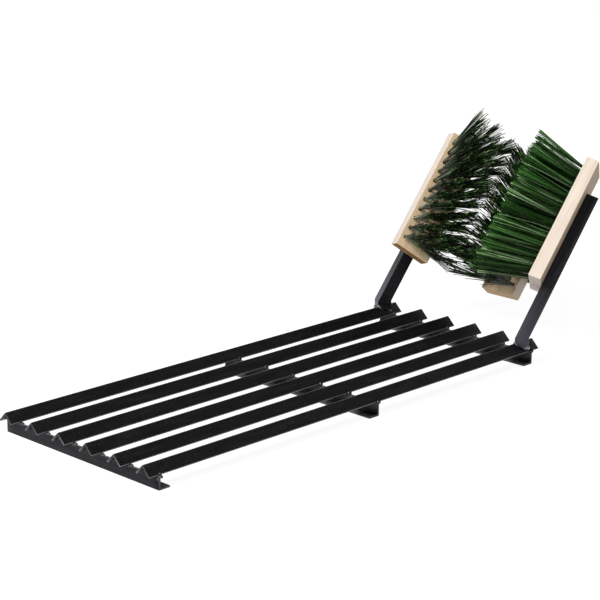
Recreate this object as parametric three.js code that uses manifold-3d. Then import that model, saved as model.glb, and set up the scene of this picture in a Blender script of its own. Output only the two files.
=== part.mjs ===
// A boot scraper that stands on the ground. Six bars of angle iron lie ridge up on three cross
// members and make the grate. Two posts lean back from the outer bars and carry a brush each, and a
// bent strap between the posts carries a third brush behind the gap where the boot goes.
// Sizes are in millimetres and angles in degrees. X runs across, Y from the front to the back.

import * as THREE from "three";
import { mergeVertices } from "three/addons/utils/BufferGeometryUtils.js";
import Module from "manifold-3d";

const wasm = await Module();
wasm.setup();

// Angle iron, the one stock of the bars, cross members and posts
const ANGLE_LEG = 20;
const ANGLE_WALL = 3;
const ROOT_RADIUS = 3;
const TOE_RADIUS = 1.2;

// Grate
const BAR_COUNT = 6;
const BAR_PITCH = 57.5;
const BAR_LENGTH = 820;
const MEMBER_END_MARGIN = 1.1; // past the outer toe of the last bar
const FRONT_MEMBER_INSET = 14.5; // from the front ends of the bars to its front face
const MIDDLE_MEMBER_AT = 442; // from the front ends of the bars to its back face
const REAR_MEMBER_INSET = 18; // from the back ends of the bars to its back face
const TOE_WELD_RADIUS = 4;
const TOE_WELD_CROWN = 2.4; // radius of its flat top
const TOE_WELD_HEIGHT = 2.8;

// Posts
const POST_INSET = 51; // from the back ends of the bars to the outer corner of a post's foot
const POST_LENGTH = 279;
const POST_LEAN = 40; // back from upright
const POST_SPLAY = 26.5; // how far each brush is turned towards the front
const POST_WELD_THICKNESS = 10;
const POST_WELD_HEIGHT = 9;
const POST_WELD_MARGIN = 1.5; // past the toes of the post

// Brush blocks
const BLOCK_LENGTH = 220;
const BLOCK_WIDTH = 66;
const BLOCK_THICKNESS = 21;
const BLOCK_CORNER_RADIUS = 2;
const BLOCK_EDGE = 0.8; // bevel round both faces
const SIDE_BLOCK_START = 107; // up the post from its foot
const SIDE_BLOCK_OVERHANG = 28; // in front of the post's corner
const BACK_BLOCK_START = 114;
const BACK_BLOCK_DEPTH = 88; // its bristle face, behind the corners of the posts

// Bristle tufts
const TUFT_PITCH = 18.5;
const COLUMN_PITCH = 12;
const TUFT_END_MARGIN = 17; // least distance of a hole from the ends of the block
const TUFT_SIDE_MARGIN = 8.5; // least distance of a hole from the long edges
const TUFT_HOLE_RADIUS = 3.75;
const BRISTLE_LENGTH = 88;
const SPREAD_ACROSS = 0.3; // the tips spread over this much more than the roots
const SPREAD_ALONG = 0.2;
const TIP_OVERLAP_RATIO = 1.07; // neighbouring tufts run into each other at the tips
const TUFT_SIDES = 6;

// Strap that carries the back brush
const STRAP_WIDTH = 20;
const STRAP_THICKNESS = 3;
const STRAP_AT = 160; // up the posts, to the middle of its width
const STRAP_BEND_RADIUS = 6; // along the middle of its thickness
const STRAP_SIDE_CLEARANCE = 5; // from the side blocks to the first bends
const STRAP_BACK_CLEARANCE = 4; // from the back block to the second bends
const STRAP_ROOT_CLEARANCE = 0.5; // from the fillet inside a post to the ends

// Wood screws
const SCREW_HEAD_RADIUS = 4.2;
const SCREW_HEAD_HEIGHT = 2.8;
const SCREW_SHANK_RADIUS = 2;
const SCREW_BITE = 9.5; // depth in the wood
const SCREW_POINT = 4;
const SCREW_SLOT_WIDTH = 1.2;
const SCREW_SLOT_DEPTH = 1.4;
const SCREW_LINE = 12.5; // from the corner of the post
const SCREW_TOP_DISTANCE = 22; // below the top of the post
const BACK_SCREW_SPACING = 40;
const WOOD_WEB = 1.5; // wood left between a screw's point and the tuft holes

// Fits
const SEAT_GAP = 0.3; // between a piece and what it sits on, on the leaning frame
const HOLE_CLEARANCE = 0.3; // round a shank in its hole
const TUFT_CLEARANCE = 0.15; // round a tuft in its hole

// Fineness
const ARC_STEPS = 2; // lines for an eighth of a turn
const BEND_STEPS = 5;
const ROUND_SIDES = 12;
const TOE_WELD_SIDES = 5;
const POST_WELD_SIDES = 12;

const RAD = Math.PI / 180;

// A toe is rounded on its inner edge only, so a bar that lies ridge up touches with that arc.
const barDrop = (ANGLE_LEG + ANGLE_WALL) * Math.SQRT1_2 - TOE_RADIUS * (Math.SQRT2 - 1);
const toeReach = ANGLE_LEG * Math.SQRT1_2;
const ridgeHeight = ANGLE_LEG + barDrop;
const outerBarX = ((BAR_COUNT - 1) / 2) * BAR_PITCH;
const memberLength = 2 * (outerBarX + toeReach + MEMBER_END_MARGIN);
const postFootY = BAR_LENGTH - POST_INSET;
const upperScrewAt = POST_LENGTH - SCREW_TOP_DISTANCE;
const tuftHoleDepth = BLOCK_THICKNESS - SCREW_BITE - WOOD_WEB;
const tipDistance = Math.hypot(COLUMN_PITCH * (1 + SPREAD_ACROSS), (TUFT_PITCH / 2) * (1 + SPREAD_ALONG));
const tipRadius = (TIP_OVERLAP_RATIO * tipDistance) / 2 / Math.cos(Math.PI / TUFT_SIDES);

const X = new THREE.Vector3(1, 0, 0);
const Y = new THREE.Vector3(0, 1, 0);
const Z = new THREE.Vector3(0, 0, 1);

// Materials

function paintedSteel() {
  return new THREE.MeshStandardMaterial({ color: 0x1d1d20, roughness: 0.5, metalness: 0.4 });
}

function paleWood() {
  return new THREE.MeshStandardMaterial({ color: 0xdcb48c, roughness: 0.7, metalness: 0 });
}

function greenBristle() {
  return new THREE.MeshStandardMaterial({ color: 0x14663f, roughness: 0.6, metalness: 0 });
}

function zincPlate() {
  return new THREE.MeshStandardMaterial({ color: 0xa8a8a4, roughness: 0.35, metalness: 0.9 });
}

// Joining and cutting

function toSolid(geometry) {
  const bare = new THREE.BufferGeometry();
  bare.setAttribute("position", geometry.getAttribute("position"));
  bare.setIndex(geometry.getIndex());
  const merged = mergeVertices(bare, 1e-4);
  const index = merged.getIndex().array;
  const corners = [];
  for (let i = 0; i < index.length; i += 3) {
    const [a, b, c] = index.slice(i, i + 3);
    if (a !== b && b !== c && c !== a) corners.push(a, b, c);
  }
  return new wasm.Manifold(
    new wasm.Mesh({
      numProp: 3,
      vertProperties: new Float32Array(merged.getAttribute("position").array),
      triVerts: new Uint32Array(corners),
    }),
  );
}

function toGeometry(solid) {
  const mesh = solid.getMesh();
  const geometry = new THREE.BufferGeometry();
  geometry.setAttribute("position", new THREE.BufferAttribute(mesh.vertProperties.slice(), 3));
  geometry.setIndex(new THREE.BufferAttribute(mesh.triVerts.slice(), 1));
  geometry.computeVertexNormals();
  return geometry;
}

function joined(geometries) {
  return toGeometry(geometries.map(toSolid).reduce((sum, solid) => sum.add(solid)));
}

function cut(geometry, cutters) {
  return toGeometry(cutters.map(toSolid).reduce((left, cutter) => left.subtract(cutter), toSolid(geometry)));
}

function mirrored(geometry) {
  const copy = geometry.clone().applyMatrix4(new THREE.Matrix4().makeScale(-1, 1, 1));
  const index = copy.getIndex();
  for (let i = 0; i < index.count; i += 3) {
    const first = index.getX(i);
    index.setX(i, index.getX(i + 1));
    index.setX(i + 1, first);
  }
  copy.computeVertexNormals();
  return copy;
}

// Basic forms

// A length of angle iron whose outer corner runs from the origin. legA and legB are square to each
// other, and the iron runs along legA x legB.
function angleIron(length, legA, legB) {
  const toe = ANGLE_LEG - TOE_RADIUS;
  const wall = ANGLE_WALL - TOE_RADIUS;
  const root = ANGLE_WALL + ROOT_RADIUS;
  const outline = new THREE.Shape();
  outline.moveTo(0, 0);
  outline.lineTo(ANGLE_LEG, 0);
  outline.absarc(toe, wall, TOE_RADIUS, 0, Math.PI / 2, false);
  outline.absarc(root, root, ROOT_RADIUS, -Math.PI / 2, -Math.PI, true);
  outline.absarc(wall, toe, TOE_RADIUS, 0, Math.PI / 2, false);
  outline.lineTo(0, ANGLE_LEG);
  const options = { depth: length, bevelEnabled: false, curveSegments: ARC_STEPS };
  const along = new THREE.Vector3().crossVectors(legA, legB);
  const turn = new THREE.Matrix4().makeBasis(legA, legB, along);
  return new THREE.ExtrudeGeometry(outline, options).applyMatrix4(turn);
}

// A turned form about the Y axis, with a flat towards Z. The profile lists [radius, y] from axis to
// axis.
function turned(profile, sides) {
  const points = profile.map(([radius, y]) => new THREE.Vector2(radius, y));
  return new THREE.LatheGeometry(points, sides, Math.PI / sides);
}

function drum(radius, from, to, sides) {
  return turned([[0, from], [radius, from], [radius, to], [0, to]], sides);
}

// Grate

// Two drops of weld at the toes of a bar, flat underneath where they meet the cross member.
function toeWelds(y) {
  const profile = [[0, 0], [TOE_WELD_RADIUS, 0], [TOE_WELD_CROWN, TOE_WELD_HEIGHT], [0, TOE_WELD_HEIGHT]];
  const drop = turned(profile, TOE_WELD_SIDES).rotateX(Math.PI / 2);
  return [-1, 1].map((side) => drop.clone().translate(side * (toeReach + ANGLE_WALL / 2), y, ANGLE_LEG));
}

function scraperBar() {
  const legA = new THREE.Vector3(Math.SQRT1_2, 0, -Math.SQRT1_2);
  const legB = new THREE.Vector3(-Math.SQRT1_2, 0, -Math.SQRT1_2);
  const iron = angleIron(BAR_LENGTH, legA, legB).translate(0, 0, ridgeHeight);
  const halfWall = ANGLE_WALL / 2;
  const seats = [
    FRONT_MEMBER_INSET + halfWall,
    MIDDLE_MEMBER_AT - halfWall,
    BAR_LENGTH - REAR_MEMBER_INSET - halfWall,
  ];
  return joined([iron, ...seats.flatMap(toeWelds)]);
}

// A cross member stands on one leg, with the other upright at y and its foot towards the middle.
function crossMember(y, footTowards) {
  const foot = Y.clone().multiplyScalar(footTowards);
  const iron = angleIron(memberLength, foot, Z);
  return iron.translate((-footTowards * memberLength) / 2, y, 0);
}

// The leaning frame has its origin between the feet of the posts and its Z along them. In the frame
// of a side brush, Z runs up the post from its outer corner, X across the block towards the back
// and Y along the bristles. These are for the right side, and the left one is its mirror image.

const leaningFrame = new THREE.Matrix4()
  .makeTranslation(0, postFootY, ridgeHeight)
  .multiply(new THREE.Matrix4().makeRotationX(-POST_LEAN * RAD));

const sideFrame = new THREE.Matrix4()
  .makeTranslation(outerBarX, 0, 0)
  .multiply(new THREE.Matrix4().makeRotationZ((90 + POST_SPLAY) * RAD));

const backFrame = new THREE.Matrix4()
  .makeTranslation(0, BACK_BLOCK_DEPTH + BLOCK_THICKNESS + SEAT_GAP, 0)
  .multiply(new THREE.Matrix4().makeRotationZ(Math.PI));

// A post is cut square, drilled for its screws, notched over the ridge of the outer bar and held
// there by a bead of weld along the foot of each leg.
function post() {
  const iron = angleIron(POST_LENGTH, Y.clone().negate(), X);
  const holes = [STRAP_AT, upperScrewAt].map((height) => {
    const hole = drum(SCREW_SHANK_RADIUS + HOLE_CLEARANCE, -2 * ANGLE_WALL, ANGLE_WALL, ROUND_SIDES);
    return hole.translate(SCREW_LINE, 0, height);
  });
  const bead = new THREE.SphereGeometry(0.5, POST_WELD_SIDES, POST_WELD_SIDES / 3).rotateX(Math.PI / 2);
  bead.scale(ANGLE_LEG + 2 * POST_WELD_MARGIN, POST_WELD_THICKNESS, POST_WELD_HEIGHT);
  bead.translate(ANGLE_LEG / 2, -ANGLE_WALL / 2, 0);
  const otherBead = mirrored(bead).rotateZ(Math.PI / 2);
  const welded = joined([cut(iron, holes), bead, otherBead]);
  return cut(welded.applyMatrix4(sideFrame).applyMatrix4(leaningFrame), [ridgeWedge()]);
}

// The outside of the outer bar, a seat gap larger all round.
function ridgeWedge() {
  const top = SEAT_GAP * Math.SQRT2;
  const wedge = new THREE.Shape();
  wedge.moveTo(0, top);
  wedge.lineTo(-ANGLE_LEG - top, -ANGLE_LEG);
  wedge.lineTo(ANGLE_LEG + top, -ANGLE_LEG);
  const solid = new THREE.ExtrudeGeometry(wedge, { depth: 4 * ANGLE_LEG, bevelEnabled: false });
  return solid.rotateX(Math.PI / 2).translate(outerBarX, postFootY + 2 * ANGLE_LEG, ridgeHeight);
}

// Brushes. In a brush's own frame the plane y = 0 is the iron that carries the block, z = 0 is the
// lower end and x = 0 the middle of the block.

function evenly(span, pitch) {
  const count = Math.floor(span / pitch) + 1;
  return Array.from({ length: count }, (unused, i) => (i - (count - 1) / 2) * pitch);
}

// The places of the tufts, in columns set half a pitch off their neighbours.
function tuftPlaces() {
  const across = evenly(BLOCK_WIDTH - 2 * TUFT_SIDE_MARGIN, COLUMN_PITCH);
  const full = evenly(BLOCK_LENGTH - 2 * TUFT_END_MARGIN, TUFT_PITCH);
  const short = full.slice(1).map((z) => z - TUFT_PITCH / 2);
  return across.flatMap((x, column) => (column % 2 ? short : full).map((z) => [x, z]));
}

function brushBlock(screwPlaces) {
  const halfWidth = BLOCK_WIDTH / 2 - BLOCK_EDGE;
  const halfLength = BLOCK_LENGTH / 2 - BLOCK_EDGE;
  const r = BLOCK_CORNER_RADIUS;
  const outline = new THREE.Shape();
  outline.absarc(halfWidth - r, halfLength - r, r, 0, Math.PI / 2, false);
  outline.absarc(r - halfWidth, halfLength - r, r, Math.PI / 2, Math.PI, false);
  outline.absarc(r - halfWidth, r - halfLength, r, Math.PI, 1.5 * Math.PI, false);
  outline.absarc(halfWidth - r, r - halfLength, r, 1.5 * Math.PI, 2 * Math.PI, false);
  const board = new THREE.ExtrudeGeometry(outline, {
    depth: BLOCK_THICKNESS - 2 * BLOCK_EDGE,
    bevelThickness: BLOCK_EDGE,
    bevelSize: BLOCK_EDGE,
    bevelSegments: 1,
    curveSegments: 1,
  });
  board.rotateX(Math.PI / 2);
  board.translate(0, SEAT_GAP + BLOCK_THICKNESS - BLOCK_EDGE, BLOCK_LENGTH / 2);
  const tuftHoles = tuftPlaces().map((place) =>
    onFace(drum(TUFT_HOLE_RADIUS, -tuftHoleDepth, BLOCK_EDGE, TUFT_SIDES), place),
  );
  const pilotRadius = SCREW_SHANK_RADIUS + HOLE_CLEARANCE;
  const pilotDepth = SEAT_GAP + SCREW_BITE + HOLE_CLEARANCE;
  const pilotHoles = screwPlaces.map(([x, z]) =>
    drum(pilotRadius, -SEAT_GAP, pilotDepth, ROUND_SIDES).translate(x, 0, z),
  );
  return cut(board, [...tuftHoles, ...pilotHoles]);
}

// Sets a hole or a tuft on the bristle face. It slants outwards with its place on the block.
function onFace(geometry, [x, z]) {
  const slant = new THREE.Matrix4().makeShear(
    (SPREAD_ACROSS * x) / BRISTLE_LENGTH, 0, 0, (SPREAD_ALONG * z) / BRISTLE_LENGTH, 0, 0,
  );
  return geometry.applyMatrix4(slant).translate(x, SEAT_GAP + BLOCK_THICKNESS, z + BLOCK_LENGTH / 2);
}

// A tuft flares all the way from the bottom of its hole, and just clears the hole's rim.
function tuft() {
  const foot = TUFT_CLEARANCE - tuftHoleDepth;
  const rim = TUFT_HOLE_RADIUS - TUFT_CLEARANCE;
  const footRadius = rim + ((tipRadius - rim) * foot) / BRISTLE_LENGTH;
  const profile = [[0, foot], [footRadius, foot], [tipRadius, BRISTLE_LENGTH], [0, BRISTLE_LENGTH]];
  return turned(profile, TUFT_SIDES);
}

function bristles() {
  return joined(tuftPlaces().map((place) => onFace(tuft(), place)));
}

// Strap

// The middle line of the strap, sampled as [x, y, normal x, normal y]. Corners become arcs.
function bentLine(corners, radius) {
  const samples = [];
  const add = (point, angle) => samples.push([point.x, point.y, -Math.sin(angle), Math.cos(angle)]);
  const angleOf = (i) => Math.atan2(corners[i + 1].y - corners[i].y, corners[i + 1].x - corners[i].x);
  add(corners[0], angleOf(0));
  for (let i = 1; i < corners.length - 1; i += 1) {
    const before = angleOf(i - 1);
    const turn = Math.atan2(Math.sin(angleOf(i) - before), Math.cos(angleOf(i) - before));
    const side = Math.sign(turn);
    const setback = radius * Math.tan(Math.abs(turn) / 2);
    const ahead = new THREE.Vector2(Math.cos(before), Math.sin(before));
    const inwards = new THREE.Vector2(-ahead.y, ahead.x).multiplyScalar(side * radius);
    const centre = corners[i].clone().addScaledVector(ahead, -setback).add(inwards);
    for (let step = 0; step <= BEND_STEPS; step += 1) {
      const angle = before + (turn * step) / BEND_STEPS;
      const spoke = new THREE.Vector2(Math.sin(angle), -Math.cos(angle));
      add(centre.clone().addScaledVector(spoke, side * radius), angle);
    }
  }
  add(corners[corners.length - 1], angleOf(corners.length - 2));
  return samples;
}

function brushStrap() {
  const onPost = -ANGLE_WALL - SEAT_GAP - STRAP_THICKNESS / 2;
  const start = ANGLE_WALL + ROOT_RADIUS + STRAP_ROOT_CLEARANCE;
  const firstBend = BLOCK_WIDTH - SIDE_BLOCK_OVERHANG + STRAP_SIDE_CLEARANCE;
  const secondBend = BLOCK_WIDTH / 2 + STRAP_BACK_CLEARANCE;
  const rightHalf = [
    new THREE.Vector3(start, onPost, 0).applyMatrix4(sideFrame),
    new THREE.Vector3(firstBend, onPost, 0).applyMatrix4(sideFrame),
    new THREE.Vector3(-secondBend, -STRAP_THICKNESS / 2, 0).applyMatrix4(backFrame),
  ];
  const leftHalf = rightHalf.map((point) => new THREE.Vector3(-point.x, point.y, 0)).reverse();
  const corners = [...rightHalf, ...leftHalf].map((point) => new THREE.Vector2(point.x, point.y));
  const line = bentLine(corners, STRAP_BEND_RADIUS);
  const half = STRAP_THICKNESS / 2;
  const outer = line.map(([x, y, nx, ny]) => new THREE.Vector2(x + nx * half, y + ny * half));
  const inner = line.map(([x, y, nx, ny]) => new THREE.Vector2(x - nx * half, y - ny * half));
  const outline = new THREE.Shape([...outer, ...inner.reverse()]);
  const band = new THREE.ExtrudeGeometry(outline, { depth: STRAP_WIDTH, bevelEnabled: false });
  band.translate(0, 0, STRAP_AT - STRAP_WIDTH / 2);
  const hole = drum(
    SCREW_SHANK_RADIUS + HOLE_CLEARANCE,
    -ANGLE_WALL - 2 * STRAP_THICKNESS,
    STRAP_THICKNESS,
    ROUND_SIDES,
  );
  const right = hole.clone().translate(SCREW_LINE, 0, STRAP_AT).applyMatrix4(sideFrame);
  const middle = [-0.5, 0.5].map((share) =>
    hole.clone().translate(share * BACK_SCREW_SPACING, 0, STRAP_AT).applyMatrix4(backFrame),
  );
  return cut(band, [right, mirrored(right), ...middle]);
}

// Screws

// A slotted round head screw along +Y through iron of the given thickness and into the wood.
function woodScrew(iron) {
  const length = iron + SEAT_GAP + SCREW_BITE;
  const head = [0, 1 / 3, 2 / 3, 1].map((share) => {
    const angle = (share * Math.PI) / 2;
    return [SCREW_HEAD_RADIUS * Math.sin(angle), -SCREW_HEAD_HEIGHT * Math.cos(angle)];
  });
  const shank = [[SCREW_SHANK_RADIUS, 0], [SCREW_SHANK_RADIUS, length - SCREW_POINT], [0, length]];
  const profile = [...head, ...shank];
  const slot = new THREE.BoxGeometry(SCREW_SLOT_WIDTH, 2 * SCREW_SLOT_DEPTH, 4 * SCREW_HEAD_RADIUS);
  slot.translate(0, -SCREW_HEAD_HEIGHT, 0);
  return cut(turned(profile, ROUND_SIDES), [slot]).translate(0, -iron - SEAT_GAP, 0);
}

function screwAt([x, z], iron, frame) {
  return woodScrew(iron).translate(x, 0, z).applyMatrix4(frame);
}

// Assembly

const scraper = new THREE.Group();
const leaning = new THREE.Group();
leaning.position.set(0, postFootY, ridgeHeight);
leaning.rotation.x = -POST_LEAN * RAD;
scraper.add(leaning);

function addMesh(parent, name, geometry, material) {
  const mesh = new THREE.Mesh(geometry, material);
  mesh.name = name;
  parent.add(mesh);
  return mesh;
}

// Adds the right and the left piece of a pair. The geometry is the right one, in its parent's frame.
function addPair(parent, name, geometry, makeMaterial) {
  addMesh(parent, `${name}_right`, geometry, makeMaterial());
  addMesh(parent, `${name}_left`, mirrored(geometry), makeMaterial());
}

for (let i = 0; i < BAR_COUNT; i += 1) {
  const bar = addMesh(scraper, `scraper_bar_${i + 1}`, scraperBar(), paintedSteel());
  bar.position.x = i * BAR_PITCH - outerBarX;
}

addMesh(scraper, "cross_member_front", crossMember(FRONT_MEMBER_INSET, 1), paintedSteel());
addMesh(scraper, "cross_member_middle", crossMember(MIDDLE_MEMBER_AT, -1), paintedSteel());
addMesh(scraper, "cross_member_rear", crossMember(BAR_LENGTH - REAR_MEMBER_INSET, -1), paintedSteel());

addPair(scraper, "post", post(), paintedSteel);
addMesh(leaning, "brush_strap", brushStrap(), paintedSteel());

const sideBrush = sideFrame
  .clone()
  .multiply(new THREE.Matrix4().makeTranslation(BLOCK_WIDTH / 2 - SIDE_BLOCK_OVERHANG, 0, SIDE_BLOCK_START));
const backBrush = backFrame.clone().multiply(new THREE.Matrix4().makeTranslation(0, 0, BACK_BLOCK_START));

const sideScrewX = SCREW_LINE + SIDE_BLOCK_OVERHANG - BLOCK_WIDTH / 2;
const sideScrews = [
  [sideScrewX, STRAP_AT - SIDE_BLOCK_START],
  [sideScrewX, upperScrewAt - SIDE_BLOCK_START],
];
const backScrews = [
  [-BACK_SCREW_SPACING / 2, STRAP_AT - BACK_BLOCK_START],
  [BACK_SCREW_SPACING / 2, STRAP_AT - BACK_BLOCK_START],
];

addPair(leaning, "brush_block", brushBlock(sideScrews).applyMatrix4(sideBrush), paleWood);
addPair(leaning, "bristles", bristles().applyMatrix4(sideBrush), greenBristle);
addMesh(leaning, "brush_block_back", brushBlock(backScrews).applyMatrix4(backBrush), paleWood());
addMesh(leaning, "bristles_back", bristles().applyMatrix4(backBrush), greenBristle());

const [lowerPlace, upperPlace] = sideScrews;
const postAndStrap = ANGLE_WALL + SEAT_GAP + STRAP_THICKNESS;
addPair(leaning, "screw_lower", screwAt(lowerPlace, postAndStrap, sideBrush), zincPlate);
addPair(leaning, "screw_upper", screwAt(upperPlace, ANGLE_WALL, sideBrush), zincPlate);
backScrews.forEach((place, i) => {
  addMesh(leaning, `screw_back_${i + 1}`, screwAt(place, STRAP_THICKNESS, backBrush), zincPlate());
});

// The origin is at the middle of the underside of the whole piece.
scraper.updateMatrixWorld(true);
const bounds = new THREE.Box3().setFromObject(scraper, true);
const middle = bounds.getCenter(new THREE.Vector3());
scraper.position.set(-middle.x, -middle.y, -bounds.min.z);

export default scraper;
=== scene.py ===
"""Looks for a boot scraper: black angle iron, three wooden brush blocks and their green bristles.

Blender works in metres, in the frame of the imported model. Sizes in millimetres go through MM.
"""

import math
import random

import bmesh
import bpy
import numpy as np
from mathutils import Matrix, Vector, noise


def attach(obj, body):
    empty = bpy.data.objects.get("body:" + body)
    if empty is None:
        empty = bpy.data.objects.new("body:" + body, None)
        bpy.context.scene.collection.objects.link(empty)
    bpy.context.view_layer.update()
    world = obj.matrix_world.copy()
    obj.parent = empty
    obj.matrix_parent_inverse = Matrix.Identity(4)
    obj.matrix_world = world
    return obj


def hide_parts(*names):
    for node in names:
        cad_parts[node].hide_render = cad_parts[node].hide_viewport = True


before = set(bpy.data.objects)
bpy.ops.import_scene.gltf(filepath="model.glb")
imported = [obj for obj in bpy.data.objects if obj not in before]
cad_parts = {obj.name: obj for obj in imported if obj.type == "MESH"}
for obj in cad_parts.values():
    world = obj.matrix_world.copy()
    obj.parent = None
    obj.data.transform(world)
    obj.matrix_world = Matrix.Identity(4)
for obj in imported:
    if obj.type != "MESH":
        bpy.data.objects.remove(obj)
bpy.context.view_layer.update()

MM = 0.001
SLOPE = math.sqrt(0.5)  # sine and cosine of 45 degrees
CREASE = math.radians(38)  # faces that meet at more than this keep a sharp edge

# Angle iron, in millimetres and degrees
LEG, WALL, ROOT_RADIUS, TOE_RADIUS, RIDGE_RADIUS = 20, 3, 3, 1.2, 0.8
BARS, BAR_PITCH, BAR_LENGTH, RIDGE_HEIGHT = 6, 57.5, 820, 35.766
OUTER_BAR = (BARS - 1) / 2 * BAR_PITCH
BAR_PLACES = [i * BAR_PITCH - OUTER_BAR for i in range(BARS)]
GRATE_MIDDLE = 533.34  # from the front ends of the bars to y = 0
FRONT_MEMBER, MIDDLE_MEMBER, REAR_MEMBER = 14.5, 442, 802
TOE_REACH = LEG * SLOPE
MEMBER_HALF = OUTER_BAR + TOE_REACH + 1.1
POST_FOOT, POST_LEAN, POST_SPLAY = 769, 40, 26.5
POST_KNEE = 43.8  # height below which a post stands upright

# Brushes, in millimetres
BLOCK_LENGTH, BLOCK_WIDTH, BLOCK_THICKNESS, SEAT_GAP = 220, 66, 21, 0.3
BLOCK_FRONT = SEAT_GAP + BLOCK_THICKNESS
SIDE_BLOCK_SHIFT, SIDE_BLOCK_START = 5, 107
BACK_BLOCK_START, BACK_BLOCK_BACK = 114, 109.3
COLUMNS, COLUMN_PITCH, LONG_COLUMN, TUFT_PITCH = 5, 12, 11, 18.5
LAST_TUFT = (LONG_COLUMN - 1) / 2 * TUFT_PITCH
HOLE_RADIUS, HOLE_SIDES, HOLE_DEPTH = 3.75, 18, 10
BRISTLE_LENGTH, SPREAD_ACROSS, SPREAD_ALONG = 88, 0.3, 0.2


def moved(x, y, z):
    return Matrix.Translation((x * MM, y * MM, z * MM))


def turned(degrees, axis):
    return Matrix.Rotation(math.radians(degrees), 4, axis)


# Frames of the leaning brushes: X across the block, Y along the bristles, Z up the post
leaning = moved(0, POST_FOOT - GRATE_MIDDLE, RIDGE_HEIGHT) @ turned(-POST_LEAN, "X")
side = moved(OUTER_BAR, 0, 0) @ turned(90 + POST_SPLAY, "Z")
right_brush = leaning @ side @ moved(SIDE_BLOCK_SHIFT, 0, SIDE_BLOCK_START)
back_brush = leaning @ moved(0, BACK_BLOCK_BACK, 0) @ turned(180, "Z") @ moved(0, 0, BACK_BLOCK_START)
mirror = Matrix.Scale(-1, 4, (1, 0, 0))
left_brush = mirror @ right_brush @ mirror  # its X runs towards the front


# Material helpers


def new_material(name):
    material = bpy.data.materials.new(name)
    material.use_nodes = True
    tree = material.node_tree
    tree.nodes.clear()
    output = tree.nodes.new("ShaderNodeOutputMaterial")
    shader = tree.nodes.new("ShaderNodeBsdfPrincipled")
    tree.links.new(shader.outputs["BSDF"], output.inputs["Surface"])
    return material, tree, shader


def add_node(tree, kind, **values):
    """Adds a node. Each value goes to its input of that name, or else to its setting."""
    node = tree.nodes.new(kind)
    for key, value in values.items():
        if key in node.inputs:
            node.inputs[key].default_value = value
        else:
            setattr(node, key, value)
    return node


def attribute(tree, name, output="Fac"):
    return add_node(tree, "ShaderNodeAttribute", attribute_name=name).outputs[output]


def scaled_coordinates(tree, source, scale):
    mapping = add_node(tree, "ShaderNodeMapping", Scale=scale)
    tree.links.new(source, mapping.inputs["Vector"])
    return mapping.outputs["Vector"]


def object_coordinates(tree, scale=(1, 1, 1)):
    place = add_node(tree, "ShaderNodeTexCoord")
    return scaled_coordinates(tree, place.outputs["Object"], scale)


def grain_coordinates(tree, scale=(1, 1, 1)):
    """Coordinates of a piece before it was leaned, kept in the attribute "grain"."""
    return scaled_coordinates(tree, attribute(tree, "grain", "Vector"), scale)


def noise_at(tree, vector, scale, detail, roughness):
    node = add_node(tree, "ShaderNodeTexNoise", Scale=scale, Detail=detail, Roughness=roughness)
    tree.links.new(vector, node.inputs["Vector"])
    return node.outputs["Fac"]


def ramp(tree, value, stops):
    node = add_node(tree, "ShaderNodeValToRGB")
    elements = node.color_ramp.elements
    while len(elements) < len(stops):
        elements.new(0.5)
    for element, (position, colour) in zip(elements, stops):
        element.position = position
        element.color = (*colour, 1)
    tree.links.new(value, node.inputs["Fac"])
    return node.outputs["Color"]


def mixed(tree, factor, first, second, blend="MIX"):
    """A colour between two, each given as a socket or as a plain value."""
    node = add_node(tree, "ShaderNodeMix", data_type="RGBA", blend_type=blend)
    factor_socket, first_socket, second_socket, colour_result = 0, 6, 7, 2
    for socket, value in ((factor_socket, factor), (first_socket, first), (second_socket, second)):
        if isinstance(value, bpy.types.NodeSocket):
            tree.links.new(value, node.inputs[socket])
        else:
            node.inputs[socket].default_value = value
    return node.outputs[colour_result]


def multiplied(tree, base, other, factor=1.0):
    return mixed(tree, factor, base, other, "MULTIPLY")


def ranged(tree, value, low, high, new_low, new_high):
    node = add_node(tree, "ShaderNodeMapRange")
    for key, number in zip(("From Min", "From Max", "To Min", "To Max"), (low, high, new_low, new_high)):
        node.inputs[key].default_value = number
    tree.links.new(value, node.inputs["Value"])
    return node.outputs["Result"]


def bumped(tree, shader, height, strength, distance):
    node = add_node(tree, "ShaderNodeBump", Strength=strength, Distance=distance)
    tree.links.new(height, node.inputs["Height"])
    tree.links.new(node.outputs["Normal"], shader.inputs["Normal"])


# Materials

WHITE = (1, 1, 1)

# The paint's tones along its mottle, and the pale metal of a worn edge, which also paints a highlight
# along ridges and toes
PAINT = [(0.3, (0.0022, 0.0022, 0.0026)), (0.55, (0.0045, 0.0043, 0.0050)), (0.8, (0.013, 0.012, 0.014))]
BARE_EDGE_AND_HIGHLIGHT = (0.22, 0.22, 0.225, 1)


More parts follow.
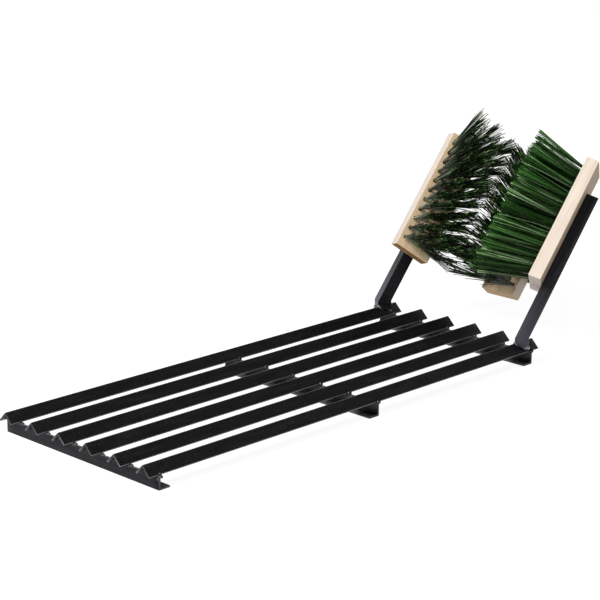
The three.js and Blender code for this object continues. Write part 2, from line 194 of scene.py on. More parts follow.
def black_iron(name, along, lift=1.0, shine=0.25, tint=WHITE, place=object_coordinates, foot_light=None):
    """Black painted iron with mill mottling, faint streaks and worn edges, which carry a painted
    highlight.

    along scales the streaks, lift makes the paint paler and shine makes it glossier. The last
    argument paints light on the foot: the height in metres that the paler foot reaches, and its paleness.
    """
    material, tree, shader = new_material(name)
    plain = place(tree)
    streaked = place(tree, along)
    mottle = noise_at(tree, plain, 260, 5, 0.65)
    patches = noise_at(tree, plain, 38, 3, 0.55)
    streaks = noise_at(tree, streaked, 1.0, 4, 0.6)
    base = ramp(tree, mottle, [(spot, tuple(lift * c for c in colour)) for spot, colour in PAINT])
    base = multiplied(tree, base, ramp(tree, patches, [(0.45, WHITE), (0.75, (1.25, 1.0, 1.08))]))
    base = multiplied(tree, base, ramp(tree, streaks, [(0.55, WHITE), (0.8, (1.9, 1.85, 1.9))]))
    # Painted light: the piece grows paler and bluer towards its foot, up to the given height.
    if foot_light:
        foot_light_top, painted_light_grey = foot_light
        split = add_node(tree, "ShaderNodeSeparateXYZ")
        tree.links.new(plain, split.inputs["Vector"])
        low = ranged(tree, split.outputs["Z"], 0.02, foot_light_top, 0.9, 0)
        base = mixed(tree, low, base, (painted_light_grey, painted_light_grey, 1.25 * painted_light_grey, 1))
    # Pale bare metal on worn edges, also standing as a painted highlight along the ridges and toes
    base = mixed(tree, attribute(tree, "edge_wear_and_highlight"), base, BARE_EDGE_AND_HIGHLIGHT)
    tree.links.new(base, shader.inputs["Base Color"])
    tree.links.new(ranged(tree, mottle, 0.3, 0.75, 0.3, 0.55), shader.inputs["Roughness"])
    gloss = ranged(tree, streaks, 0.4, 0.65, 0.85 * shine, 1.4 * shine)
    tree.links.new(gloss, shader.inputs["Specular IOR Level"])
    shader.inputs["Specular Tint"].default_value = (*tint, 1)
    bumped(tree, shader, mottle, 0.35, 0.0004)
    return material


def weld_steel(name, coat):
    """Weld metal under black paint, glossier than the iron."""
    material, tree, shader = new_material(name)
    grain = noise_at(tree, object_coordinates(tree), 420, 4, 0.6)
    base = ramp(tree, grain, [(0.35, (0.004, 0.004, 0.005)), (0.8, (0.020, 0.019, 0.021))])
    tree.links.new(base, shader.inputs["Base Color"])
    tree.links.new(ranged(tree, grain, 0.3, 0.8, 0.12, 0.3), shader.inputs["Roughness"])
    shader.inputs["Specular IOR Level"].default_value = 0.7 + 0.3 * coat
    shader.inputs["Coat Weight"].default_value = coat
    shader.inputs["Coat Roughness"].default_value = 0.1
    shader.inputs["Coat IOR"].default_value = 1.9
    bumped(tree, shader, grain, 0.4, 0.0005)
    return material


def wood(name, pale, deep, grain_scale, gloss=0.35):
    """Planed beech or birch: long soft grain with short darker flecks."""
    material, tree, shader = new_material(name)
    long_grain = grain_coordinates(tree, grain_scale)
    plain = grain_coordinates(tree)
    bands = noise_at(tree, long_grain, 1.0, 5, 0.55)
    fibres = noise_at(tree, long_grain, 6.0, 4, 0.7)
    clouds = noise_at(tree, plain, 14, 2, 0.5)
    palest = tuple(min(1, c * 1.06) for c in pale)
    base = ramp(tree, bands, [(0.3, deep), (0.55, pale), (0.8, palest)])
    base = multiplied(tree, base, ramp(tree, fibres, [(0.25, (0.80, 0.74, 0.66)), (0.48, WHITE)]), 0.75)
    base = multiplied(tree, base, ramp(tree, clouds, [(0.3, (0.95, 0.93, 0.9)), (0.7, WHITE)]))
    tree.links.new(base, shader.inputs["Base Color"])
    tree.links.new(ranged(tree, fibres, 0.2, 0.8, 0.62, 0.48), shader.inputs["Roughness"])
    shader.inputs["Specular IOR Level"].default_value = gloss
    bumped(tree, shader, fibres, 0.25, 0.0003)
    return material


def bristle_plastic(name, tones, root, middle, tip, shine, painted_root_light=0):
    """Green filament: each strand has its own tone, and root, middle and tip paint shade and light along
    it.
    """
    material, tree, shader = new_material(name)
    strand = attribute(tree, "strand")
    base = ramp(tree, strand, tones)
    rise = attribute(tree, "rise")
    # Painted shade and light along the strand, from root to tip
    base = multiplied(tree, base, ramp(tree, rise, [(0.0, root), (0.45, middle), (1.0, tip)]))
    # Painted highlight: pale grey-green strands near the roots
    if painted_root_light:
        painted_root_light_share = ranged(tree, rise, 0.04, 0.4, painted_root_light, 0)
        painted_light_grey = ramp(tree, strand, [(0.3, (0.03, 0.04, 0.02)), (0.7, (0.80, 0.86, 0.68))])
        base = mixed(tree, painted_root_light_share, base, painted_light_grey)
    tree.links.new(base, shader.inputs["Base Color"])
    rubbed = noise_at(tree, object_coordinates(tree), 90, 3, 0.6)
    tree.links.new(ranged(tree, rubbed, 0.3, 0.7, 0.2, 0.34), shader.inputs["Roughness"])
    glint = ranged(tree, strand, 0.65, 1.0, shine, 1.0)
    tree.links.new(glint, shader.inputs["Specular IOR Level"])
    shader.inputs["Specular Tint"].default_value = (0.95, 1.0, 0.7, 1)
    return material


def zinc():
    material, tree, shader = new_material("zinc_screw")
    grain = noise_at(tree, object_coordinates(tree), 900, 3, 0.6)
    base = ramp(tree, grain, [(0.3, (0.38, 0.38, 0.36)), (0.7, (0.56, 0.56, 0.54))])
    tree.links.new(base, shader.inputs["Base Color"])
    tree.links.new(ranged(tree, grain, 0.3, 0.7, 0.26, 0.42), shader.inputs["Roughness"])
    shader.inputs["Metallic"].default_value = 1
    bumped(tree, shader, grain, 0.15, 0.0002)
    return material


def leaned_iron(name, shine, tint, foot_light=None):
    """Iron of the posts and the strap, its streaks along the posts."""
    return black_iron(name, (420, 420, 9), shine=shine, tint=tint, place=grain_coordinates, foot_light=foot_light)


cool, cold = (0.92, 0.92, 1.0), (0.85, 0.88, 1.0)
iron_bars = black_iron("black_iron_bars", (150, 16, 150))
iron_members = black_iron("black_iron_members", (14, 200, 200), shine=0.18, tint=(0.86, 0.85, 1.0))
iron_strap = leaned_iron("black_iron_strap", 0.36, cool)
# The posts' last numbers paint light on their feet: the height it reaches and the paleness.
iron_left = leaned_iron("black_iron_left_post", 0.37, cold, (0.09, 0.075))
iron_inner = leaned_iron("black_iron_left_post_inside", 0.2, cool)
iron_right = leaned_iron("black_iron_right_post", 0.17, cool, (0.11, 0.052))
iron_cut = black_iron("black_iron_cut_ends", (300, 300, 300), lift=2.5)
toe_weld = weld_steel("weld_drops", 0)
foot_weld = weld_steel("weld_beads", 1)

edge_grain, face_grain, end_grain = (190, 190, 5), (150, 150, 5), (60, 420, 420)
wood_edge = wood("wood_long_edge", (0.81, 0.71, 0.61), (0.76, 0.64, 0.52), edge_grain)
# The drilled face: its own tan, painted paler to stand in for light between the tuft roots
wood_face_with_painted_light = wood("wood_face_with_painted_light", (0.92, 0.72, 0.48), (0.84, 0.62, 0.38), face_grain)
# Painted shade: the outer face is the same wood darkened
wood_back_painted_shade = wood("wood_outer_face_painted_shade", (0.56, 0.46, 0.36), (0.52, 0.40, 0.29), face_grain, 0.1)
# Painted shade: the left block's end grain darkened
wood_left_end_painted_shade = wood("wood_left_end_grain_painted_shade", (0.52, 0.31, 0.15), (0.42, 0.23, 0.09), end_grain, 0)
wood_end = wood("wood_end_grain", (0.74, 0.50, 0.26), (0.54, 0.34, 0.14), end_grain)
# Painted light: the right block's end grain made pale
wood_right_end_painted_light = wood("wood_right_end_grain_painted_light", (1.0, 0.88, 0.79), (0.92, 0.79, 0.71), end_grain)

# The palest stop of each list paints glints on a few strands: a painted highlight.
green = [
    (0.0, (0.0005, 0.004, 0.0003)),
    (0.35, (0.004, 0.026, 0.002)),
    (0.6, (0.018, 0.085, 0.010)),
    (0.8, (0.075, 0.200, 0.052)),
    (1.0, (0.400, 0.550, 0.340)),
]
# The same green darkened as painted shade, for the left and back brushes
green_painted_shade = [
    (0.0, (0.0005, 0.0015, 0.0003)),
    (0.45, (0.002, 0.008, 0.0015)),
    (0.75, (0.013, 0.038, 0.012)),
    (1.0, (0.130, 0.200, 0.140)),
]
# Painted shade near the roots and painted light on the tips
bristle_right = bristle_plastic(
    "bristle_green", green, root=(0.6, 0.6, 0.6), middle=(0.8, 0.8, 0.8), tip=(1.3, 1.3, 1.2), shine=0.18
)
# The same plastic with painted shade, and painted light on its roots and tips
bristle_painted_shade = bristle_plastic(
    "bristle_green_painted_shade", green_painted_shade, root=(2, 2, 2), middle=(1.3, 1.4, 1.1), tip=(1.3, 1.6, 0.8),
    shine=0.14, painted_root_light=0.8
)
screw_zinc = zinc()


# Mesh helpers


def add_object(name, mesh, materials, nodes=()):
    for material in materials:
        mesh.materials.append(material)
    made = bpy.data.objects.new(name, mesh)
    bpy.context.scene.collection.objects.link(made)
    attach(made, "root")
    if nodes:
        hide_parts(*nodes)


def smooth_mesh(work, name):
    """Ends the work in bmesh: a smooth mesh with its faces turned outwards."""
    bmesh.ops.recalc_face_normals(work, faces=work.faces)
    mesh = bpy.data.meshes.new(name)
    work.to_mesh(mesh)
    work.free()
    mesh.shade_smooth()
    return mesh


def applied(mesh, kind, **settings):
    """A new mesh: the given one with a modifier applied."""
    scratch = bpy.data.objects.new("scratch", mesh)
    bpy.context.scene.collection.objects.link(scratch)
    modifier = scratch.modifiers.new("scratch", kind)
    for key, value in settings.items():
        setattr(modifier, key, value)
    graph = bpy.context.evaluated_depsgraph_get()
    made = bpy.data.meshes.new_from_object(scratch.evaluated_get(graph))
    bpy.data.objects.remove(scratch)
    return made


def creased(mesh):
    """Smooth faces with sharp creases. The large faces decide the normals, so that they stay flat."""
    mesh.shade_smooth()
    mesh.set_sharp_from_angle(angle=CREASE)
    return applied(mesh, "WEIGHTED_NORMAL", keep_sharp=True)


def keep_grain(mesh, matrix):
    """Keeps where each point was before its piece was leaned, for the wood's grain and the streaks."""
    grain = mesh.attributes.new("grain", "FLOAT_VECTOR", "POINT")
    flat = [number for vertex in mesh.vertices for number in matrix @ vertex.co]
    grain.data.foreach_set("vector", flat)


def bridge(work, lower, upper):
    """Faces between two rings of as many points."""
    for i in range(len(lower)):
        j = (i + 1) % len(lower)
        work.faces.new((lower[i], lower[j], upper[j], upper[i]))


# Angle iron


def arc(centre, radius, start, end, steps):
    points = []
    for i in range(steps + 1):
        angle = math.radians(start + (end - start) * i / steps)
        points.append((centre[0] + radius * math.cos(angle), centre[1] + radius * math.sin(angle)))
    return points


# A point's wear, which also sets a painted highlight on the edge
def with_wear_and_highlight(points, amount):
    return [(x, y, amount) for x, y in points]


def angle_outline():
    """The section of the angle iron in millimetres, its outer corner at (0, 0).

    The third number of a point says how worn it is, and so how much painted highlight it takes.
    """
    toe, wall, root = LEG - TOE_RADIUS, WALL - TOE_RADIUS, WALL + ROOT_RADIUS
    corner, guard = 0.3, 0.5  # the toes' small outer radius, and the width that its wear and painted highlight fade over
    outline = with_wear_and_highlight(arc((RIDGE_RADIUS, RIDGE_RADIUS), RIDGE_RADIUS, 180, 270, 4), 0.35)
    outline += with_wear_and_highlight([(RIDGE_RADIUS + guard, 0), (LEG - corner - guard, 0)], 0)
    outline += with_wear_and_highlight(arc((LEG - corner, corner), corner, -90, 0, 2), 0.8)
    outline += with_wear_and_highlight(arc((toe, wall), TOE_RADIUS, 0, 90, 4), 0.3)
    outline += with_wear_and_highlight(arc((root, root), ROOT_RADIUS, -90, -180, 5), 0)
    outline += with_wear_and_highlight(arc((wall, toe), TOE_RADIUS, 0, 90, 4), 0.3)
    outline += with_wear_and_highlight(arc((corner, LEG - corner), corner, 90, 180, 2), 0.8)
    outline += with_wear_and_highlight([(0, LEG - corner - guard), (0, RIDGE_RADIUS + guard)], 0)
    return outline


def angle_mesh(name, length, matrix, seed):
    """A length of angle iron along local Z, legs along X and Y, with a rolled, not quite flat skin.

    Its cut ends take the second material.
    """
    outline = angle_outline()
    root = WALL + ROOT_RADIUS  # the section shrinks towards (root, root)
    ease, unevenness, spans = 0.35, 0.05, 24
    stations = [(0, ease), (ease, 0)]
    stations += [(length * i / spans, 0) for i in range(1, spans)]
    stations += [(length - ease, 0), (length, ease)]
    work = bmesh.new()
    edge_wear_and_highlight = work.verts.layers.float.new("edge_wear_and_highlight")
    rings = []
    for z, inset in stations:
        ring = []
        for x, y, wear_and_highlight in outline:
            inward_x, inward_y = root - x, root - y
            wave = unevenness * noise.noise(Vector((x * 0.05 + seed, y * 0.05, z * 0.02)))
            step = (inset + wave) / math.hypot(inward_x, inward_y)
            place = Vector(((x + inward_x * step) * MM, (y + inward_y * step) * MM, z * MM))
            ring.append(work.verts.new(matrix @ place))
            ring[-1][edge_wear_and_highlight] = wear_and_highlight
        rings.append(ring)
    for lower, upper in zip(rings, rings[1:]):
        bridge(work, lower, upper)
    for ring in (rings[0][::-1], rings[-1]):
        work.faces.new(ring).material_index = 1
    mesh = smooth_mesh(work, name)
    mesh.set_sharp_from_angle(angle=CREASE)
    return mesh


def basis(origin, x_axis, y_axis):
    z_axis = Vector(x_axis).cross(Vector(y_axis))
    turn = Matrix((Vector(x_axis), Vector(y_axis), z_axis)).transposed().to_4x4()
    return Matrix.Translation(Vector(origin) * MM) @ turn


def upright_shift(height):
    """How far back a point of a post's foot goes, so that the post stands upright below the knee."""
    return max(POST_KNEE - height, 0) * math.tan(math.radians(POST_LEAN))


def stand_up(mesh):
    work = bmesh.new()
    work.from_mesh(mesh)
    everything = work.verts[:] + work.edges[:] + work.faces[:]
    bmesh.ops.bisect_plane(work, geom=everything, plane_co=(0, 0, POST_KNEE * MM), plane_no=(0, 0, 1))
    for vertex in work.verts:
        vertex.co.y += upright_shift(vertex.co.z / MM) * MM
    work.to_mesh(mesh)
    work.free()


def dress(node, materials, width):
    """Adds a copy of a CAD node with its sharp edges rounded a little.

    A second material is for the faces that look right.
    """
    work = bmesh.new()
    work.from_mesh(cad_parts[node].data)
    bmesh.ops.remove_doubles(work, verts=work.verts, dist=1e-6)
    bmesh.ops.dissolve_limit(work, angle_limit=math.radians(2), verts=work.verts, edges=work.edges)
    mesh = bpy.data.meshes.new(node + "_form")
    work.to_mesh(mesh)
    work.free()
    mesh.materials.clear()
    edges = {"limit_method": "ANGLE", "angle_limit": math.radians(40)}
    mesh = creased(applied(mesh, "BEVEL", width=width * MM, segments=2, **edges))
    keep_grain(mesh, leaning.inverted())
    if node.startswith("post_"):
        stand_up(mesh)
    for face in mesh.polygons:
        face.material_index = int(len(materials) > 1 and face.normal.x > 0.5)
    add_object(node + "_finish", mesh, materials, [node])


# Grate

# Each cross member's name, the place of its upright leg, and the way its flat leg points along Y
members = (("front", FRONT_MEMBER, 1), ("middle", MIDDLE_MEMBER, -1), ("rear", REAR_MEMBER, -1))


def make_bars():
    for number, x in enumerate(BAR_PLACES):
        place = basis((x, -GRATE_MIDDLE, RIDGE_HEIGHT), (SLOPE, 0, -SLOPE), (-SLOPE, 0, -SLOPE))
        mesh = angle_mesh("bar", BAR_LENGTH, place, number * 7.3)
        metals, node = [iron_bars, iron_cut], f"scraper_bar_{number + 1}"
        add_object(f"bar_finish_{number + 1}", mesh, metals, [node])


def make_cross_members():
    for name, y, foot in members:
        place = basis((-foot * MEMBER_HALF, y - GRATE_MIDDLE, 0), (0, foot, 0), (0, 0, 1))
        mesh = angle_mesh("member", 2 * MEMBER_HALF, place, y * 0.1)
        metals, node = [iron_members, iron_members], f"cross_member_{name}"
        add_object(f"cross_member_{name}_finish", mesh, metals, [node])


make_bars()
make_cross_members()


# Welds

weld_random = random.Random(11)


def weld_drop(work, centre, radii, seed, ripple_axis=None):
    """A drop of weld metal in millimetres: an uneven ball with shallow ripples."""
    rows, around = 9, 16
    rings = []
    for row in range(rows + 1):
        polar = math.pi * row / rows
        ring = []
        for spot in range(around):
            angle = 2 * math.pi * spot / around
            flat = math.sin(polar)
            out = Vector((flat * math.cos(angle), flat * math.sin(angle), math.cos(polar)))
            swell = 1 + 0.16 * noise.noise(out * 1.6 + Vector((seed, 0, 0)))
            if ripple_axis is not None:
                swell += 0.05 * math.sin(out.dot(ripple_axis) * 14 + seed)
            reach = Vector((out.x * radii[0], out.y * radii[1], out.z * radii[2])) * swell
            ring.append(work.verts.new((Vector(centre) + reach) * MM))
            if row in (0, rows):  # a pole is one point
                break
        rings.append(ring)
    for i in range(around):
        j = (i + 1) % around
        work.faces.new((rings[0][0], rings[1][i], rings[1][j]))
        work.faces.new((rings[-2][i], rings[-1][0], rings[-2][j]))
    for lower, upper in zip(rings[1:-1], rings[2:-1]):
        bridge(work, lower, upper)


def make_toe_welds():
    """Drops of weld where the toes of the bars cross the members."""
    drops = bmesh.new()
    for x in BAR_PLACES:
        for name, y, foot in members:
            seat = y + foot * WALL / 2 - GRATE_MIDDLE
            for hand in (-1, 1):
                toe = x + hand * TOE_REACH
                size = weld_random.uniform(0.85, 1.15)
                if name == "front":
                    centre = (toe + hand * 2.5, seat, LEG - 0.2)
                    radii = (5.0 * size, weld_random.uniform(2.6, 3.1), weld_random.uniform(2.0, 2.6))
                else:
                    centre = (toe + hand * 0.8, seat, LEG + 1.2)
                    radii = (3.6 * size, weld_random.uniform(3.2, 4.0), weld_random.uniform(3.0, 3.8))
                weld_drop(drops, centre, radii, weld_random.uniform(0, 50))

    # Two more at the right end of the front member
    last_toe = OUTER_BAR + TOE_REACH
    front_seat = FRONT_MEMBER - GRATE_MIDDLE
    weld_drop(drops, (last_toe + 0.8, front_seat + 2.5, LEG + 2.6), (2.5, 2.6, 2.4), 3)
    weld_drop(drops, (last_toe + 0.6, front_seat + 0.4, LEG - 3.6), (3.0, 1.5, 3.2), 9)
    add_object("toe_welds", smooth_mesh(drops, "toe_welds"), [toe_weld])


def make_post_welds():
    """A bead of weld along each leg of the posts' feet, as a row of drops."""
    beads = bmesh.new()
    for post in (mirror @ leaning @ side, leaning @ side):
        for drop in range(7):
            along = 1.2 + 2.9 * drop
            for leg, across in (((along, -WALL / 2), (0, 1, 0)), ((WALL / 2, -along), (1, 0, 0))):
                size = weld_random.uniform(0.9, 1.1)
                centre = post @ (Vector((*leg, weld_random.uniform(-0.6, 0.6))) * MM) / MM
                centre.y += upright_shift(centre.z)
                radii = (3.6 * size, 3.6 * size, 3.9 * size)
                weld_drop(beads, centre, radii, weld_random.uniform(0, 50), Vector(across))
    add_object("post_welds", smooth_mesh(beads, "post_welds"), [foot_weld])


make_toe_welds()
dress("post_left", [iron_left, iron_inner], 0.5)
dress("post_right", [iron_right], 0.5)
dress("brush_strap", [iron_strap], 0.4)
make_post_welds()

for node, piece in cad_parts.items():
    if node.startswith("screw_"):
        piece.data.materials.clear()
        piece.data.materials.append(screw_zinc)


# Brush blocks


def tuft_places():
    """Five columns of tufts, every second one shorter and set half a pitch off."""
    places = []
    for column in range(COLUMNS):
        rows = LONG_COLUMN - column % 2
        for row in range(rows):
            x = (column - (COLUMNS - 1) / 2) * COLUMN_PITCH
            places.append((x, (row - (rows - 1) / 2) * TUFT_PITCH))
    return places


def board_mesh():
    """A planed board with rounded corners and eased edges."""
    work = bmesh.new()
    bmesh.ops.create_cube(work, size=1)
    for vertex in work.verts:
        vertex.co.x *= BLOCK_WIDTH * MM
        vertex.co.y = (vertex.co.y + 0.5) * BLOCK_THICKNESS * MM + SEAT_GAP * MM
        vertex.co.z = (vertex.co.z + 0.5) * BLOCK_LENGTH * MM
    half_thickness = BLOCK_THICKNESS * MM / 2
    corners = [e for e in work.edges if abs((e.verts[0].co - e.verts[1].co).y) > half_thickness]
    bmesh.ops.bevel(work, geom=corners, offset=1.8 * MM, segments=4, profile=0.5, affect="EDGES")
    rims = [e for e in work.edges if e.calc_face_angle() > 1.0]
    bmesh.ops.bevel(work, geom=rims, offset=0.7 * MM, segments=2, profile=0.5, affect="EDGES")
    return smooth_mesh(work, "board")


def drills_mesh():
    """One round bar for each tuft, slanted as the tuft is, from the hole's floor to above the block."""
    work = bmesh.new()
    for x, z in tuft_places():
        ends = []
        for depth in (-HOLE_DEPTH, 3):
            slant = depth / BRISTLE_LENGTH
            centre = Vector((x + SPREAD_ACROSS * x * slant, BLOCK_FRONT + depth, 0))
            centre.z = z + BLOCK_LENGTH / 2 + SPREAD_ALONG * z * slant
            ring = []
            for i in range(HOLE_SIDES):
                angle = 2 * math.pi * i / HOLE_SIDES
                rim = Vector((math.cos(angle), 0, math.sin(angle))) * HOLE_RADIUS
                ring.append(work.verts.new((centre + rim) * MM))
            ends.append(ring)
        bridge(work, *ends)
        work.faces.new(ends[0][::-1])
        work.faces.new(ends[1])
    return smooth_mesh(work, "drills")


def wood_index(face):
    """The wood of a face: 0 for the long edges, 1 for the drilled face and the sides of its holes,
    2 for end grain, and 3 for the outer face."""
    normal, centre = face.normal, face.center
    if abs(normal.y) > 0.8:
        return 1 if normal.y > 0 else 3
    if abs(normal.z) > 0.8:
        return 2
    within = SEAT_GAP * MM < centre.y < BLOCK_FRONT * MM
    return int(within and abs(centre.x) < (BLOCK_WIDTH / 2 - 3) * MM)


def block_mesh():
    """A brush block, drilled for its tufts, before it is leaned."""
    cutter = bpy.data.objects.new("cutter", drills_mesh())
    bpy.context.scene.collection.objects.link(cutter)
    drilled = applied(board_mesh(), "BOOLEAN", operation="DIFFERENCE", object=cutter, solver="EXACT")
    bpy.data.objects.remove(cutter)
    drilled.materials.clear()
    for face in drilled.polygons:
        face.material_index = wood_index(face)
    block = creased(drilled)
    keep_grain(block, Matrix())
    return block


# Bristles, in millimetres

STRANDS, STRAND_RINGS, STRAND_SIDES = 40, 6, 4
STRAND_RADIUS, STRAND_TAPER, STRAND_SEAT, STRAND_REACH = 0.62, 0.08, 3.0, 1.04
rise_steps = np.linspace(0, 1, STRAND_RINGS)


def polar_points(radius, angle):
    return np.stack((radius * np.cos(angle), radius * np.sin(angle)), axis=1)


def tuft_strands(x, z, brush, gen):
    """The paths of one tuft's strands in millimetres, and the tone of each strand.

    A tuft leaves its hole as a round bundle, parts into locks and fans out.
    """
    end = z / LAST_TUFT
    inner = HOLE_RADIUS - 0.9
    outer = brush["fan"] * (1 + brush["end_fan"] * end**4)
    near = 1 - 0.9 * max(brush["even"] * x, 0) / (2 * COLUMN_PITCH)
    tip_x = brush["across"] * x + gen.normal(0, brush["stray"])
    tip_z = SPREAD_ALONG * z + near * brush["top"] * max(end, 0) ** 2.8
    tip_z += gen.normal(0, brush["stray"]) - brush["low"] * max(-end, 0) ** 1.5
    bend_x, bend_z = gen.normal(0, brush["bend"], 2)

    # Locks: one in the middle of the tuft and the others around it
    locks = brush["locks"]
    turn = 2 * math.pi * (np.arange(locks) / (locks - 1) + gen.uniform(0, 1, locks) * 0.12)
    away = np.where(np.arange(locks) == 0, 0.0, gen.uniform(0.6, 0.85, locks))
    lock_tone = gen.uniform(0, 1, locks)
    lock = gen.integers(0, locks, STRANDS)
    spin = gen.uniform(0, 2 * math.pi, STRANDS)
    own = polar_points(np.sqrt(gen.uniform(0, 1, STRANDS)), spin)
    heart = polar_points(away, turn)[lock]
    off = inner * (0.72 * heart + 0.38 * own)
    spread = outer * (heart + brush["loose"] * own)

    # Single strands: their length, and how they stray from their lock
    length = STRAND_REACH * (1 - brush["ragged"] * gen.beta(1.2, 2.5, STRANDS))
    stray = gen.normal(0, 1, (STRANDS, 4))
    stray *= np.where(gen.uniform(0, 1, STRANDS) < brush["loners"], 2.8, 1.0)[:, None]
    rise = rise_steps[None, :] * length[:, None]
    flare = (1 - brush["flare"]) * rise + brush["flare"] * rise**2
    bow = 0.15 * np.sin(math.pi * rise)
    wild = brush["wild"] * rise
    across = x + off[:, 0:1] + tip_x * rise + (spread[:, 0:1] - off[:, 0:1]) * flare
    up = z + off[:, 1:2] + tip_z * rise + (spread[:, 1:2] - off[:, 1:2]) * flare
    across = across + stray[:, 0:1] * wild + stray[:, 2:3] * bow + bend_x * (rise**2 - rise)
    up = up + stray[:, 1:2] * wild + stray[:, 3:4] * bow + bend_z * (rise**2 - rise)
    lean = np.hypot(tip_x + spread[:, 0], tip_z + spread[:, 1]) / BRISTLE_LENGTH
    straight = BRISTLE_LENGTH / np.sqrt(1 + 0.5 * lean[:, None] ** 2)
    out = BLOCK_FRONT - STRAND_SEAT + (straight + STRAND_SEAT) * rise
    paths = np.stack((across, out, up + BLOCK_LENGTH / 2), axis=2)

    own_tone = gen.uniform(0, 1, STRANDS)
    tones = (1.15 - brush["tones"]) * lock_tone[lock] + brush["tones"] * own_tone - 0.08
    return paths, np.clip(tones, 0, 1)


def strands_mesh(name, brush):
    """The filaments of one brush as thin square rods, with the attributes strand and rise."""
    gen = np.random.default_rng(brush["seed"])
    tufts = [tuft_strands(x, z, brush, gen) for x, z in tuft_places()]
    paths = np.concatenate([path for path, _ in tufts]) * MM
    tones = np.concatenate([tone for _, tone in tufts])
    count, rings, sides = len(paths), STRAND_RINGS, STRAND_SIDES
    radius = (STRAND_RADIUS - STRAND_TAPER * rise_steps)[None, :, None] * MM
    spin = gen.uniform(0, 2 * math.pi, count)
    angles = (spin[:, None] + np.arange(sides)[None, :] * 2 * math.pi / sides)[:, None, :]
    vertices = np.repeat(paths[:, :, None, :], sides, axis=2)
    vertices[..., 0] += radius * np.cos(angles)
    vertices[..., 2] += radius * np.sin(angles)
    around = np.arange(sides)
    quads = [around, (rings - 1) * sides + around[::-1]]
    for r in range(rings - 1):
        for s in range(sides):
            n = (s + 1) % sides
            quads.append((r * sides + s, (r + 1) * sides + s, (r + 1) * sides + n, r * sides + n))
    start = np.arange(count) * rings * sides
    faces = (start[:, None, None] + np.array(quads)[None, :, :]).reshape(-1, 4)
    mesh = bpy.data.meshes.new(name)
    mesh.from_pydata(vertices.reshape(-1, 3).tolist(), [], faces.tolist())
    mesh.shade_smooth()
    strand = mesh.attributes.new("strand", "FLOAT", "POINT")
    strand.data.foreach_set("value", np.repeat(tones, rings * sides).astype(np.float32))
    rise = mesh.attributes.new("rise", "FLOAT", "POINT")
    rise.data.foreach_set("value", np.tile(np.repeat(rise_steps, sides), count).astype(np.float32))
    mesh.update()
    return mesh


# Brushes

# A tuft has a number of locks, and loose is how far its strands leave them. fan is its radius at the
# tips, wider by end_fan at the ends of the block, and a higher flare opens it later. across, top and
# low tilt the tufts to the sides, upwards and downwards, and even takes top away towards one edge.
# stray and bend are for whole tufts. wild, loners and ragged are for single strands. tones is the
# share of a strand's tone that is its own.
brushes = {
    "right": {
        "place": right_brush, "seed": 3, "plastic": bristle_right, "end": wood_right_end_painted_light,
        "locks": 8, "loose": 0.34, "fan": 9.5, "end_fan": 0, "flare": 0.35,
        "across": 0.3, "top": 2, "low": 2, "even": 0, "stray": 1.0, "bend": 1.5,
        "wild": 0.7, "loners": 0.05, "ragged": 0.05, "tones": 0.7,
    },
    "left": {
        "place": left_brush, "seed": 5, "plastic": bristle_painted_shade, "end": wood_left_end_painted_shade,
        "locks": 9, "loose": 0.38, "fan": 10.4, "end_fan": 0.25, "flare": 0.6,
        "across": 0.55, "top": 16.3, "low": 2.6, "even": -1, "stray": 2.0, "bend": 1.2,
        "wild": 1.2, "loners": 0.10, "ragged": 0.10, "tones": 0.5,
    },
    "back": {
        "place": back_brush, "seed": 8, "plastic": bristle_painted_shade, "end": wood_end,
        "locks": 9, "loose": 0.38, "fan": 10, "end_fan": 0.15, "flare": 0.4,
        "across": 0.5, "top": 3.5, "low": 10, "even": 0, "stray": 1.8, "bend": 2.2,
        "wild": 1.2, "loners": 0.10, "ragged": 0.10, "tones": 0.5,
    },
}


upright_block = block_mesh()
for name, brush in brushes.items():
    block, strands = upright_block.copy(), strands_mesh(f"strands_{name}", brush)
    for mesh in (block, strands):
        mesh.transform(brush["place"])
        mesh.update()
    woods = [wood_edge, wood_face_with_painted_light, brush["end"], wood_back_painted_shade]
    add_object(f"block_{name}", block, woods, [f"brush_block_{name}"])
    add_object(f"filaments_{name}", strands, [brush["plastic"]], [f"bristles_{name}"])


# Stage


def seen_directly(tree):
    """1 for camera, glossy and transmission rays."""
    path = add_node(tree, "ShaderNodeLightPath")
    total = path.outputs["Is Camera Ray"]
    for other in ("Is Glossy Ray", "Is Transmission Ray"):
        node = add_node(tree, "ShaderNodeMath", operation="MAXIMUM")
        tree.links.new(total, node.inputs[0])
        tree.links.new(path.outputs[other], node.inputs[1])
        total = node.outputs[0]
    return total


def make_floor():
    """A floor that looks white but throws plain light on the object, and keeps its shadow."""
    half, drop, glow = 12, 0.0004, 0.88
    mesh = bpy.data.meshes.new("floor")
    corners = [(x * half, y * half, -drop) for x, y in ((-1, -1), (1, -1), (1, 1), (-1, 1))]
    mesh.from_pydata(corners, [], [(0, 1, 2, 3)])
    floor = bpy.data.objects.new("floor", mesh)
    bpy.context.scene.collection.objects.link(floor)
    material, tree, shader = new_material("floor_white")
    direct = seen_directly(tree)
    colour = mixed(tree, direct, (0.70, 0.70, 0.70, 1), (0.30, 0.30, 0.30, 1))
    tree.links.new(colour, shader.inputs["Base Color"])
    shader.inputs["Roughness"].default_value = 0.9
    shader.inputs["Specular IOR Level"].default_value = 0.1
    shader.inputs["Emission Color"].default_value = (1, 1, 1, 1)
    strength = add_node(tree, "ShaderNodeMath", operation="MULTIPLY")
    tree.links.new(direct, strength.inputs[0])
    strength.inputs[1].default_value = glow
    tree.links.new(strength.outputs[0], shader.inputs["Emission Strength"])
    mesh.materials.append(material)


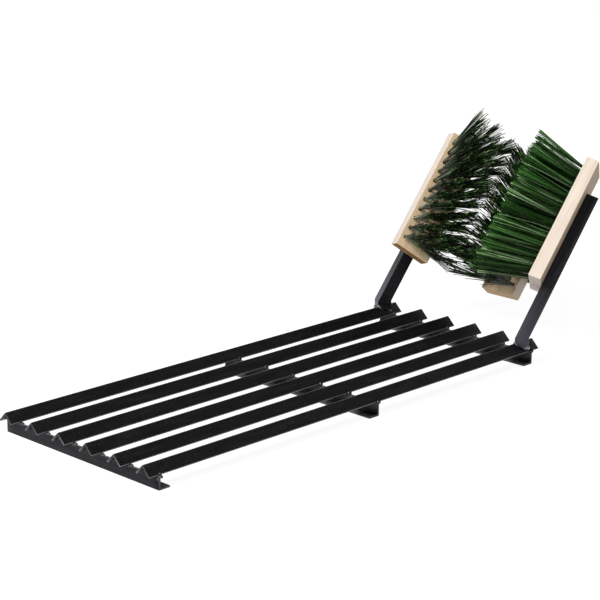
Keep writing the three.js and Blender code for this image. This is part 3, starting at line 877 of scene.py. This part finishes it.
def make_world():
    """A grey sky above a white horizon, darker towards the front right. Matt surfaces are lit by an
    even grey instead."""
    world = bpy.data.worlds.new("studio")
    bpy.context.scene.world = world
    world.use_nodes = True
    tree = world.node_tree
    tree.nodes.clear()
    output = add_node(tree, "ShaderNodeOutputWorld")
    background = add_node(tree, "ShaderNodeBackground")
    place = add_node(tree, "ShaderNodeTexCoord")
    split = add_node(tree, "ShaderNodeSeparateXYZ")
    tree.links.new(place.outputs["Generated"], split.inputs["Vector"])
    height = split.outputs["Z"]
    far_side = ramp(tree, height, [(0.10, WHITE), (0.28, (0.32, 0.32, 0.33)), (0.62, (0.26, 0.26, 0.27))])
    near_side = ramp(tree, height, [(0.04, WHITE), (0.16, (0.10, 0.10, 0.11)), (0.62, (0.05, 0.05, 0.06))])
    forward = add_node(tree, "ShaderNodeVectorMath", operation="DOT_PRODUCT")
    tree.links.new(place.outputs["Generated"], forward.inputs[0])
    forward.inputs[1].default_value = (0.6, -0.8, 0)
    nearness = ranged(tree, forward.outputs["Value"], -0.1, 0.4, 0, 1)
    sky = mixed(tree, nearness, far_side, near_side)
    sky = mixed(tree, seen_directly(tree), (0.34, 0.34, 0.35, 1), sky)
    tree.links.new(sky, background.inputs["Color"])
    tree.links.new(background.outputs["Background"], output.inputs["Surface"])


def softbox(name, place, target, width, power):
    """A square area lamp in metres and watts, turned to its target."""
    lamp = bpy.data.lights.new(name, "AREA")
    lamp.shape = "RECTANGLE"
    lamp.size = width
    lamp.size_y = width
    lamp.energy = power
    made = bpy.data.objects.new(name, lamp)
    bpy.context.scene.collection.objects.link(made)
    made.location = place
    made.rotation_euler = (Vector(target) - Vector(place)).to_track_quat("-Z", "Y").to_euler()


def photo_camera():
    """The camera at the photograph's angle. Its distance and target are in metres."""
    azimuth, elevation, roll = map(math.radians, (43.918, 15.777, 0.705))
    target, distance = Vector((-0.05014, -0.04198, 0.12187)), 2.9885
    flat = math.cos(elevation)
    back = Vector((math.sin(azimuth) * flat, -math.cos(azimuth) * flat, math.sin(elevation)))
    across = Vector((math.cos(azimuth), math.sin(azimuth), 0))
    up = back.cross(across)
    right = math.cos(roll) * across + math.sin(roll) * up
    top = math.cos(roll) * up - math.sin(roll) * across
    camera = bpy.data.cameras.new("photo")
    camera.sensor_width = 36
    camera.lens = 117.937
    camera.clip_end = 60
    made = bpy.data.objects.new("photo", camera)
    bpy.context.scene.collection.objects.link(made)
    turn = Matrix((right, top, back)).transposed().to_4x4()
    made.matrix_world = Matrix.Translation(target + back * distance) @ turn
    bpy.context.scene.camera = made


make_floor()
make_world()
softbox("key", (-0.35, -2.8, 3.0), (0, 0.2, 0.2), 1.4, 127)
softbox("side", (2.0, -2.3, 2.7), (0, 0.2, 0.2), 1.1, 20)
softbox("fill", (2.8, -2.0, 1.0), (0, 0.3, 0.2), 1.0, 14)
photo_camera()
bpy.context.scene.view_settings.view_transform = "Standard"
